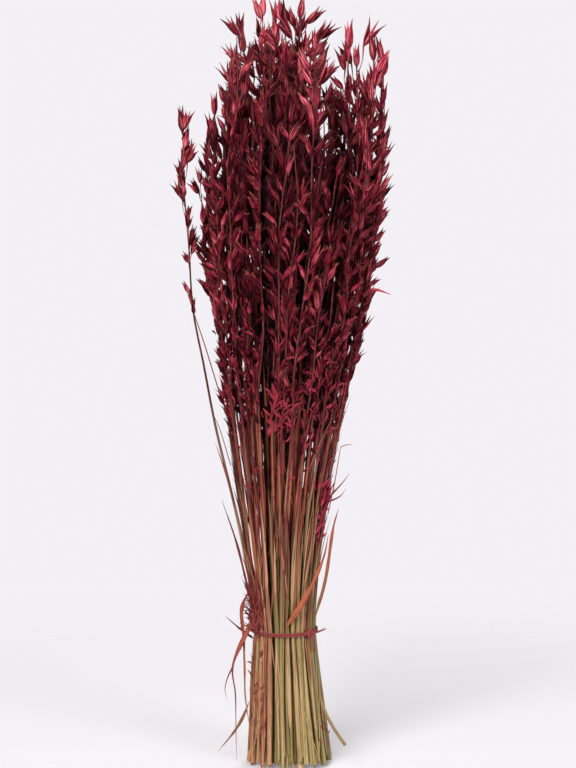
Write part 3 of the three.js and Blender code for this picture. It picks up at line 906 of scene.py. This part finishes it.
head_maker = head_tree()
for number, members in enumerate(groups, 1):
    heads = Lines()
    for stalk in members:
        end = stalk.tip - BARE_TIP
        steps = ceil((end - stalk.top) / HEAD_STEP)
        rise = end - stalk.top + STRAW_LAP
        heights = [stalk.top - STRAW_LAP + rise * i / steps for i in range(steps + 1)]
        heads.paths.append([head_place(stalk, z) for z in heights])
        turns = 0.0 if stalk.draw(25) > 0.72 and not stalk.stray else 1.0
        plane = stalk.azimuth + (pi / 2 if turns else -0.6 + 1.2 * stalk.draw(26))
        dim = RING_SHADE[stalk.ring]
        for z, here in zip(heights, heads.paths[-1]):
            share = (z - stalk.top) / (stalk.tip - stalk.top)
            airy = ease(stalk.tip - 0.09, stalk.tip - 0.03, z)
            room = crown_at(stalk.at(z).x) - z
            open_air = ease(stalk.tip - 0.17, stalk.tip - 0.05, z)
            edge = ease(0.07, 0.082, here.x)
            tucked = 0.8 * ease(end - 0.03, end, z) + 0.25 * (1 - ease(0.3, 0.5, z)) + 0.45 * edge
            inside = stalk.ring < 3 and open_air < 0.2
            size = 0.76 + 0.22 * ease(0.28, 0.45, z) + 0.17 * ease(0.5, 0.6, z) + 0.12 * airy
            rim = ease(0.05, 0.08, abs(here.x)) * ease(0.3, 0.4, z)
            heads.note(
                girth=HEAD_RADIUS - HEAD_TAPER * share,
                tint=straw_tint(stalk),
                dye=stalk.draw(18),
                joint=0.0,
                # painted shade: inner rings darkened, less so towards each tip
                shade=dim + (0.95 - dim) * open_air,
                crowd=crowd_at(stalk, z, room, airy),
                reach=1 - tucked,
                size=size * (1.35 if inside else 1),
                plane=plane,
                by_turns=turns,
                inside=1.0 if inside else 0.0,
                loose=0.35 * (z < 0.52) if stalk.stray else 0.7 * airy * (stalk.ring < OUTER_RING),
                # painted back-light: brighter at the crown's left and right sides and just under its
                # outline
                faded=max(0.8 * rim, ease(0.16, 0.02, room)),
            )
    sizes = {"Spikelets": kinds, "Spacing": SPIKELET_GAP, "Seed": number * 10, "Sides": 6}
    piece = heads.grown(f"oat_heads_{number:02d}", "burgundy", head_maker, sizes)
    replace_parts(piece, f"heads_{number:02d}")
for model in list(kinds.objects):
    bpy.data.objects.remove(model)
bpy.data.collections.remove(kinds)


# The dried blades: seven leaves that show at the waist and the foot, each rooted on an outer straw. They
# are thin, ribbed and folded along the middle, and have curled and twisted as they dried.
def blade_finish():
    """Dry leaf: tan, salmon, brown, rust, wine or crimson by the blade, with pale and dark ribs."""
    finish = Finish("dried blade", 0.6, 0.2)
    tint, along = finish.read("tint", "along")
    across = finish.place_on("section")[1]

    def grain(wide, long):
        return finish.cloud(finish.vector(across * wide, along * long, tint * 71), 3.0)

    rib = grain(7, 16)
    blotch = grain(0.8, 55)
    stops = [
        (0.0, (0.42, 0.33, 0.15)),
        (0.2, (0.5, 0.26, 0.15)),
        (0.36, (0.28, 0.15, 0.085)),
        (0.55, (0.37, 0.09, 0.04)),
        (0.72, (0.26, 0.05, 0.042)),
        (0.87, (0.15, 0.01, 0.022)),
        (1.0, (0.5, 0.036, 0.08)),
    ]
    dry = finish.ramp((tint + (blotch - 0.5) * 0.2).held(), stops)
    lined = mixed((rib * 2.4 - 0.8).held(), dry, mixed(1.0, dry, (0.45, 0.36, 0.3), "MULTIPLY"))
    finish.sets("Base Color", mixed((blotch * 2.5 - 1.45).held() * 0.35, lined, (0.45, 0.26, 0.15)))
    finish.raised(rib, 0.6, 0.0003)
    return finish.material


BLADE = blade_finish()


def blade_tree():
    """A thin folded strip along each line, as wide as its girth and facing the way its points say."""
    maker = Maker("blades", {"Fold": "Float", "Thickness": "Float"})
    values = {"Curve": maker.curve(), "Normal": maker.read("facing", "FLOAT_VECTOR")}
    curve = maker.add("GeometryNodeSetCurveNormal", values, mode="FREE")
    side, wide, _ = maker.parts(maker.add("GeometryNodeInputPosition"))
    thin = side * maker.size("Thickness") - wide.maths("ABSOLUTE") ** 1.4 * maker.size("Fold")
    values = {"Geometry": maker.ring(8), "Position": maker.vector(thin, wide)}
    strip = maker.skin(curve, maker.add("GeometryNodeSetPosition", values))
    maker.close(maker.finished(strip, BLADE))
    return maker


blade_maker = blade_tree()


class Blades(Lines):
    """Thin strips in the making, with the half width, the facing and the tint of each of their points."""

    def add(self, line, facings, wide, shape, root_tint, tip_tint):
        """One strip. Its shape gives the share of its width at each share of its length."""
        number = len(self.paths)
        self.paths.append(line)
        for share, facing in zip(shares(line), facings):
            torn = 1 + 0.3 * noise.noise(Vector((number * 3.7, share * 9, 0)))
            tint = root_tint + (tip_tint - root_tint) * share
            self.note(girth=wide * torn * shape(share), facing=facing.normalized(), tint=tint)


def through(points, steps):
    """A smooth line through points, with so many steps between each two of them."""
    ends = [2 * points[0] - points[1], *points, 2 * points[-1] - points[-2]]
    line = []
    for a, b, c, d in zip(ends, ends[1:], ends[2:], ends[3:]):
        for i in range(steps):
            t = i / steps
            bend = (2 * a - 5 * b + 4 * c - d) * t**2 + (3 * b - a - 3 * c + d) * t**3
            line.append(0.5 * (2 * b + (c - a) * t + bend))
    return [*line, points[-1]]


def in_metres(points):
    return [Vector(point) / 1000 for point in points]


def shares(line):
    """How far along a line each of its points is, from 0 to 1."""
    return [i / (len(line) - 1) for i in range(len(line))]


LEAVES = {  # side and height of the root, half width, root and tip tint, and then the way it takes, in mm
    "left_hanging": (
        (-2.8, 127, 2.2, 0.52, 1.0),
        [(-37, -12, 119), (-50, -13, 88), (-48, -12, 62), (-47.5, -11, 30), (-47, -11, 4)],
    ),
    "left_long": (
        (3.2, 152, 2.0, 0.75, 0.3),
        [(-43, -5, 135), (-41, -8, 112), (-40, -11, 84), (-39, -15, 60), (-33.5, -24, 27)],
    ),
    "left_upright": ((2.95, 138, 1.9, 0.88, 0.74), [(-38.5, 2, 156), (-47.5, 2, 194), (-60, 1, 231)]),
    "left_stub": ((2.8, 107, 1.5, 0.82, 0.86), [(-42, 11, 113), (-58, 10, 127)]),
    "left_foot": ((3, 52, 1.8, 0.45, 0.32), [(-47, 6, 28), (-64, 8, 6)]),
    "front_strap": (
        (-1.6, 125, 2.6, 0.5, 0.62),
        [(9, -33, 143), (20, -31, 163), (29, -27, 185), (33, -25, 204)],
    ),
    "right_long": ((-0.4, 127, 2.2, 0.36, 0.66), [(31, -18, 163), (37, -20, 207), (42, -21, 226)]),
}
ROOT_DEPTH = 0.00305  # from the middle of its straw to where a blade starts
FRONT = Vector((0, -1, 0))
for number, (name, (sizes, points)) in enumerate(LEAVES.items()):
    azimuth, root, wide, root_tint, tip_tint = sizes
    stalk = nearest(azimuth)
    outward = stalk.outward(root / 1000)
    line = through([stalk.at(root / 1000) + outward * ROOT_DEPTH, *in_metres(points)], 9)
    facings = []
    for share in shares(line):
        curl = 0.7 * sin(7 * share + number) * share
        facings.append(Matrix.Rotation(curl, 3, "Z") @ outward.lerp(FRONT, share**0.5).normalized())
    kink = 0.45 if name == "left_hanging" else 0

    def leaf_shape(share):
        return min(0.5 + 3 * share, 1.3 - 1.22 * share, 1) * (1 - kink * ease(0.28, 0.4, share))

    leaf = Blades()
    leaf.add(line, facings, wide / 1000, leaf_shape, root_tint, tip_tint)
    piece = leaf.grown("blade_" + name, "rust", blade_maker, {"Fold": 0.3, "Thickness": 0.13})
    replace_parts(piece, "leaf_" + name)


# The sheaths: torn lower parts of leaves that still wrap the stalks above and below the string. Each is
# a thin trough round one side of a straw, brown, rusty or wine red, and some lie across several straws.
# Dark ones on the inner rings of the neck are painted shade between the stalks.
SHEATHS = [  # how many, rings, lowest and highest start, least and most length, half widths, tints, sides
    (70, (4, 4), (0.002, 0.06), (0.04, 0.09), (0.9, 1.9), (0.0, 0.16), (0, 6.28)),
    (70, (4, 4), (0.0006, 0.04), (0.03, 0.1), (0.5, 1.4), (0.14, 0.66), (3.2, 4.1)),
    (80, (4, 4), (0.07, 0.16), (0.05, 0.11), (0.7, 1.7), (0.05, 0.8), (0, 6.28)),
    (130, (4, 4), (0.15, 0.27), (0.04, 0.1), (0.5, 1.4), (0.32, 0.88), (0, 6.28)),
    (34, (4, 4), (0.112, 0.13), (0.02, 0.06), (0.8, 2.2), (0.62, 0.85), (3.2, 4.0)),
    (16, (4, 4), (0.19, 0.225), (0.02, 0.05), (1.0, 2.2), (0.8, 0.97), (5.75, 6.1)),
    # The last two rows are dark strips on the inner rings, put in the neck as painted shade to close the
    # gaps between the stalks.
    (80, (2, 3), (0.13, 0.26), (0.08, 0.12), (1.8, 3.0), (0.58, 0.86), (0, 6.28)),
    (90, (1, 3), (0.26, 0.38), (0.09, 0.13), (1.5, 2.6), (0.82, 0.9), (0, 6.28)),
]
SHEATH_POINTS = 15


def within(limits, share):
    return limits[0] + (limits[1] - limits[0]) * share


sheaths = Blades()
mark = 0
for count, rings, starts, lengths, widths, tints, sides in SHEATHS:
    for _ in range(count):
        mark += 1
        stalk = nearest(within(sides, draw(mark, 30)), *rings)
        low = within(starts, draw(mark, 31))
        high = low + within(lengths, draw(mark, 32))
        across = draw(mark, 33) > 0.72
        swing = (0.5 if across else 0.05) * (2 * draw(mark, 34) - 1)
        away = (0.001 + 0.006 * draw(mark, 35) ** 3) * (1 if low > 0.1 else 0.3)
        side = 0.05 * (2 * draw(mark, 36) - 1)
        line = []
        facings = []
        for share in shares(range(SHEATH_POINTS)):
            z = low + (high - low) * share
            outward = Matrix.Rotation(side + swing * (share - 0.4), 3, "Z") @ stalk.outward(z)
            room = 0.0021 - 0.0008 * ease(TIE_HEIGHT, SLIM_HEIGHT, z) - 0.0003 * ease(0.18, 0.28, z)
            reach = (stalk.at(z) - MIDDLE.at(z)).length + room + away * share**2.5
            line.append(MIDDLE.at(z) + outward * reach)
            facings.append(Matrix.Rotation(3 * swing * share**2, 3, "Z") @ outward)
        tint = within(tints, draw(mark, 37))
        wide = within(widths, draw(mark, 38)) * 0.001 * (0.5 if across else 1)
        blunt = 0.8 if low < 0.03 else 0.1

        def sheath_shape(share):
            return min(blunt + 4 * share, 1, 2.4 * (1.04 - share))

        sheaths.add(line, facings, wide, sheath_shape, tint, tint + 0.1 * (draw(mark, 39) - 0.3))
sheaths.grown("sheaths", "rust", blade_maker, {"Fold": 0.75, "Thickness": 0.12})


# The string: a thin cord of three twisted plies, dyed with the heads, wound twice round the waist and
# knotted at the front right. Its two ends stand away from the knot and have frayed.
def cord_finish():
    """Dyed plant fibre: dusty rose to crimson, darker between its hairs."""
    finish = Finish("dyed fibre", 0.75, 0.15)
    tint, along = finish.read("tint", "along")
    side, front, _ = finish.place_on("section")
    hair = finish.cloud(finish.vector(side * 2.5, front * 2.5, along * 300 + tint * 40), 3.0)
    dusty = mixed((hair * 1.8 - 0.4).held(), (0.09, 0.013, 0.015), (0.32, 0.066, 0.06))
    vivid = mixed(hair, (0.13, 0.006, 0.02), (0.42, 0.035, 0.08))
    finish.sets("Base Color", mixed((tint * 1.6 - 0.5).held(), dusty, vivid))
    finish.raised(hair, 0.7, 0.0002)
    return finish.material


FIBRE = cord_finish()
fibre_maker = Maker("fibres", {"Sides": "Int"})
fibre_skin = fibre_maker.skin(fibre_maker.curve(), fibre_maker.ring(fibre_maker.size("Sides")))
fibre_maker.close(fibre_maker.finished(fibre_skin, FIBRE))


class Fibres(Lines):
    """Thin lines in the making, with the girth and the tint of each of their points."""

    def add(self, line, girth, tint, point=1.0):
        """One fibre, which thins over its last part to a share of its girth."""
        self.paths.append(line)
        for share in shares(line):
            self.note(girth=girth * (1 - (1 - point) * share**2), tint=tint)

    def plies(self, line, tint):
        """Three plies twisted round a line."""
        run = 0
        lift = UP
        wound = [[], [], []]
        for i, here in enumerate(line):
            after = line[min(i + 1, len(line) - 1)]
            ahead = (after - line[max(i - 1, 0)]).normalized()
            lift = (lift - ahead * lift.dot(ahead)).normalized()
            side = ahead.cross(lift)
            for ply in range(3):
                turn = 2 * pi * (run / PLY_PITCH + ply / 3)
                wound[ply].append(here + (side * cos(turn) + lift * sin(turn)) * PLY_LAY)
            run += (after - here).length
        for path in wound:
            self.add(path, PLY_GIRTH, tint)


WAIST_RADIUS = 0.0285  # of the ring that the middle of the cord follows
KNOT_SIDE = -0.75
PLY_LAY = 0.00042  # from the middle of the cord to the middle of a ply
PLY_GIRTH = 0.00047  # radius of a ply
PLY_PITCH = 0.0046
TURNS = (-0.0009, 0.0009)  # height of each turn over the middle of the tie
TURN_STEPS = 360
LOOPS = [(0.085, 0.0026, 0), (0.045, 0.0032, 0.9), (0.06, 0.002, -0.7)]  # half width, half height, lean
LOOP_STEPS = 40
ENDS = [  # the way each loose end takes from the knot: aside, out and up, in millimetres
    [(0, 0, 0), (7, 2, 0.5), (13, 2, 1)],
    [(0, 0, 0), (3, 2.5, -6), (4, 2, -12)],
]
FRAYS = 9  # loose hairs at each end
UP = Vector((0, 0, 1))


def waist(azimuth, out, up):
    """A point at the string: round the sheaf, out from the string's middle line, and up."""
    reach = WAIST_RADIUS + out
    return MIDDLE.at(TIE_HEIGHT) + Vector((reach * cos(azimuth), reach * sin(azimuth), up))


cord = Fibres()
for turn, up in enumerate(TURNS):
    line = []
    for i in range(TURN_STEPS + 1):
        a = KNOT_SIDE + 2 * pi * i / TURN_STEPS
        slack = 0.0004 * noise.noise(Vector((3 * cos(a), 3 * sin(a), turn * 5)))
        line.append(waist(a, 0.5 * slack, up + 1.6 * slack))
    cord.plies(line, 0.2)
for wide, high, lean in LOOPS:
    loop = []
    for i in range(LOOP_STEPS + 1):
        a = 2 * pi * i / LOOP_STEPS
        out = 0.0012 + 0.0011 * sin(2 * a)
        loop.append(waist(KNOT_SIDE + wide * cos(a), out, high * sin(a + lean)))
    cord.plies(loop, 0.35)
seat = waist(KNOT_SIDE, 0.001, 0)
out = Vector((cos(KNOT_SIDE), sin(KNOT_SIDE), 0))
beside = Vector((-out.y, out.x, 0))
for steps in ENDS:
    line = through([seat + (beside * a + out * b + UP * c) / 1000 for a, b, c in steps], 12)
    cord.plies(line, 0.5)
    ahead = (line[-1] - line[-4]).normalized()
    for hair in range(FRAYS):
        spray = Vector([draw(hair, 40 + axis) - 0.5 for axis in range(3)])
        far = line[-1] + (ahead + spray) * 0.0046
        cord.add(through([line[-3], line[-1] + spray * 0.0007, far], 4), 0.00024, 0.7, 0.4)
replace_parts(cord.grown("string", "string", fibre_maker, {"Sides": 6}), "tie")


# The tuft: loose crimson fibres that have come out of the string at its left. They start between its two
# turns, stand up against the stalks, and curl.
TUFT_FIBRES = 40
TUFT_POINTS = 13
tuft = Fibres()
for number in range(TUFT_FIBRES):
    azimuth = 3.2 + 0.6 * draw(number, 50)
    start = waist(azimuth, 0.0012, 0.002 * (draw(number, 51) - 0.5))
    rise = 0.005 + 0.04 * draw(number, 52) ** 1.5
    sweep = 0.35 * (0.5 - draw(number, 53))
    stand = 0.001 + 0.012 * draw(number, 55) ** 3
    line = []
    for share in shares(range(TUFT_POINTS)):
        spin = 3 + 7 * share * (0.5 + draw(number, 54))
        curl = Vector((cos(spin), sin(spin), 0.6 * sin(1.7 * spin))) * 0.0036 * share
        place = waist(azimuth + sweep * share, 0.0012 + stand * share, start.z - TIE_HEIGHT)
        line.append(place + curl + UP * (rise * share * (1.3 - 0.3 * share)))
    tuft.add(line, 0.00025 + 0.0005 * draw(number, 56), 0.6 * draw(number, 57), 0.4)
tuft.grown("tuft", "string", fibre_maker, {"Sides": 5})


# The torn curls: shreds of dyed husk and leaf that cling to the outer stalks. A magenta cluster hangs at
# the right under the heads, ragged bits stick out left of the string and of the foot, and small ones lie
# round the neck. Three stiff points and one petal stand away from the sheaf.
CURLS = [  # side and height, how far round and up they spread, how many, lengths, half widths, and tint
    (-0.5, 0.239, 0.19, 0.005, 28, (6, 12), (1.4, 2.8), 1.14),
    (-0.5, 0.207, 0.12, 0.014, 18, (7, 14), (0.8, 1.8), 1.02),
    (-1.88, 0.309, 0.12, 0.014, 22, (6, 13), (0.6, 1.4), 0.95),
    (-2.37, 0.246, 0.05, 0.005, 5, (6, 11), (0.4, 0.9), 0.95),
    (-1.32, 0.334, 0.05, 0.006, 8, (5, 9), (0.5, 1.0), 0.99),
    (3.45, 0.135, 0.3, 0.016, 30, (9, 22), (0.6, 1.4), 0.88),
    (3.6, 0.092, 0.35, 0.018, 16, (7, 18), (0.6, 1.5), 0.64),
    (3.55, 0.046, 0.4, 0.026, 34, (6, 17), (0.6, 1.5), 0.62),
    (5.9, 0.03, 0.3, 0.012, 9, (5, 12), (0.6, 1.4), 0.7),
]
NECK_CURLS = [  # the same sizes, for what is repeated twelve times round the neck
    (0, 0.27, 0.26, 0.03, 9, (5, 11), (0.5, 1.1), 0.94),
    (0.2, 0.325, 0.26, 0.035, 20, (6, 14), (0.6, 1.4), 0.95),
    (0.4, 0.39, 0.26, 0.04, 8, (6, 13), (0.6, 1.2), 0.95),
]
for turn in range(12):
    CURLS += [(turn * 0.524 + aside, *sizes) for aside, *sizes in NECK_CURLS]
CURL_STEPS = 9
POINTS = [  # the way each takes and its half width, in mm, and the tint of its tip
    (((-50, -13, 87), (-55, -14, 76), (-57, -13, 66), (-55, -12, 57)), 0.7, 0.97),  # on the hanging blade
    (((36, -17, 238), (44, -14, 246), (52, -13, 256)), 1.0, 0.97),  # two at the right of the neck
    (((34, -18, 232), (43, -16, 236), (49, -15, 243)), 0.9, 0.97),
    (((62, -34, 410), (72, -37, 415), (86, -36, 411)), 2.4, 1.07),  # the petal at the crown's right edge
]


def curl_shape(share):
    return min(0.4 + 3 * share, 1, 2.2 * (1.05 - share))


def point_shape(share):
    return 1 - 0.9 * share


curls = Blades()
for place, (azimuth, height, round_by, up_by, count, lengths, widths, tint) in enumerate(CURLS):
    for number in range(count):
        mark = 100 * place + number
        z = height + up_by * (2 * draw(mark, 60) - 1)
        stalk = nearest(azimuth + round_by * (2 * draw(mark, 59) - 1))
        if stalk.stray:
            continue
        outward = Matrix.Rotation(0.12 * (draw(mark, 61) - 0.5), 3, "Z") @ stalk.outward(z)
        aside = Vector((-outward.y, outward.x, 0))
        here = MIDDLE.at(z) + outward * ((stalk.at(z) - MIDDLE.at(z)).length + 0.001)
        length = within(lengths, draw(mark, 62)) / 1000
        climb = (0.4 + draw(mark, 63)) * (1 if draw(mark, 69) > 0.3 else -1)
        aim = Vector((0, 0, climb)) + aside * (1.7 * draw(mark, 64) - 0.85) + outward * 0.12
        bend = 1.8 * (draw(mark, 65) - 0.5)
        line = [here]
        facings = [outward]
        for i in range(CURL_STEPS):
            turned = Matrix.Rotation(bend / CURL_STEPS, 3, outward) @ Matrix.Rotation(0.06, 3, aside)
            aim = turned @ aim.normalized()
            here = here + aim * length / CURL_STEPS
            line.append(here)
            facings.append(outward + aside * 0.7 * sin(0.4 * i + mark))
        wide = within(widths, draw(mark, 66)) / 1000
        tip_tint = tint + 0.04 * draw(mark, 68)
        curls.add(line, facings, wide, curl_shape, tint - 0.14 * draw(mark, 67), tip_tint)
for points, wide, tip_tint in POINTS:
    line = through(in_metres(points), 6)
    curls.add(line, [FRONT] * len(line), wide / 1000, point_shape, 0.8, tip_tint)
curls.grown("torn_curls", "burgundy", blade_maker, {"Fold": 0.35, "Thickness": 0.12})


# The twigs: thin broken side stalks, two at the left of the neck and one with a bent end at its right. They
# are bare dry straw, and taper to half their thickness.
TWIGS = [  # the way each takes, and its half thickness at the root, in millimetres
    (((-61, 2, 322), (-75, 0, 368), (-85, -2, 398), (-93, -3, 424)), 0.55),
    (((33, -20, 222), (39, -16, 250), (44, -14, 279)), 0.5),
    (((44, -14, 279), (49, -14, 281), (54, -15, 281)), 0.4),
    (((-52, -4, 262), (-61, -2, 292), (-67, -2, 306)), 0.4),
]
twigs = Fibres()
for points, thick in TWIGS:
    twigs.add(through(in_metres(points), 8), thick / 1000, 0.0, 0.5)
twigs.grown("twigs", "straw", fibre_maker, {"Sides": 6})
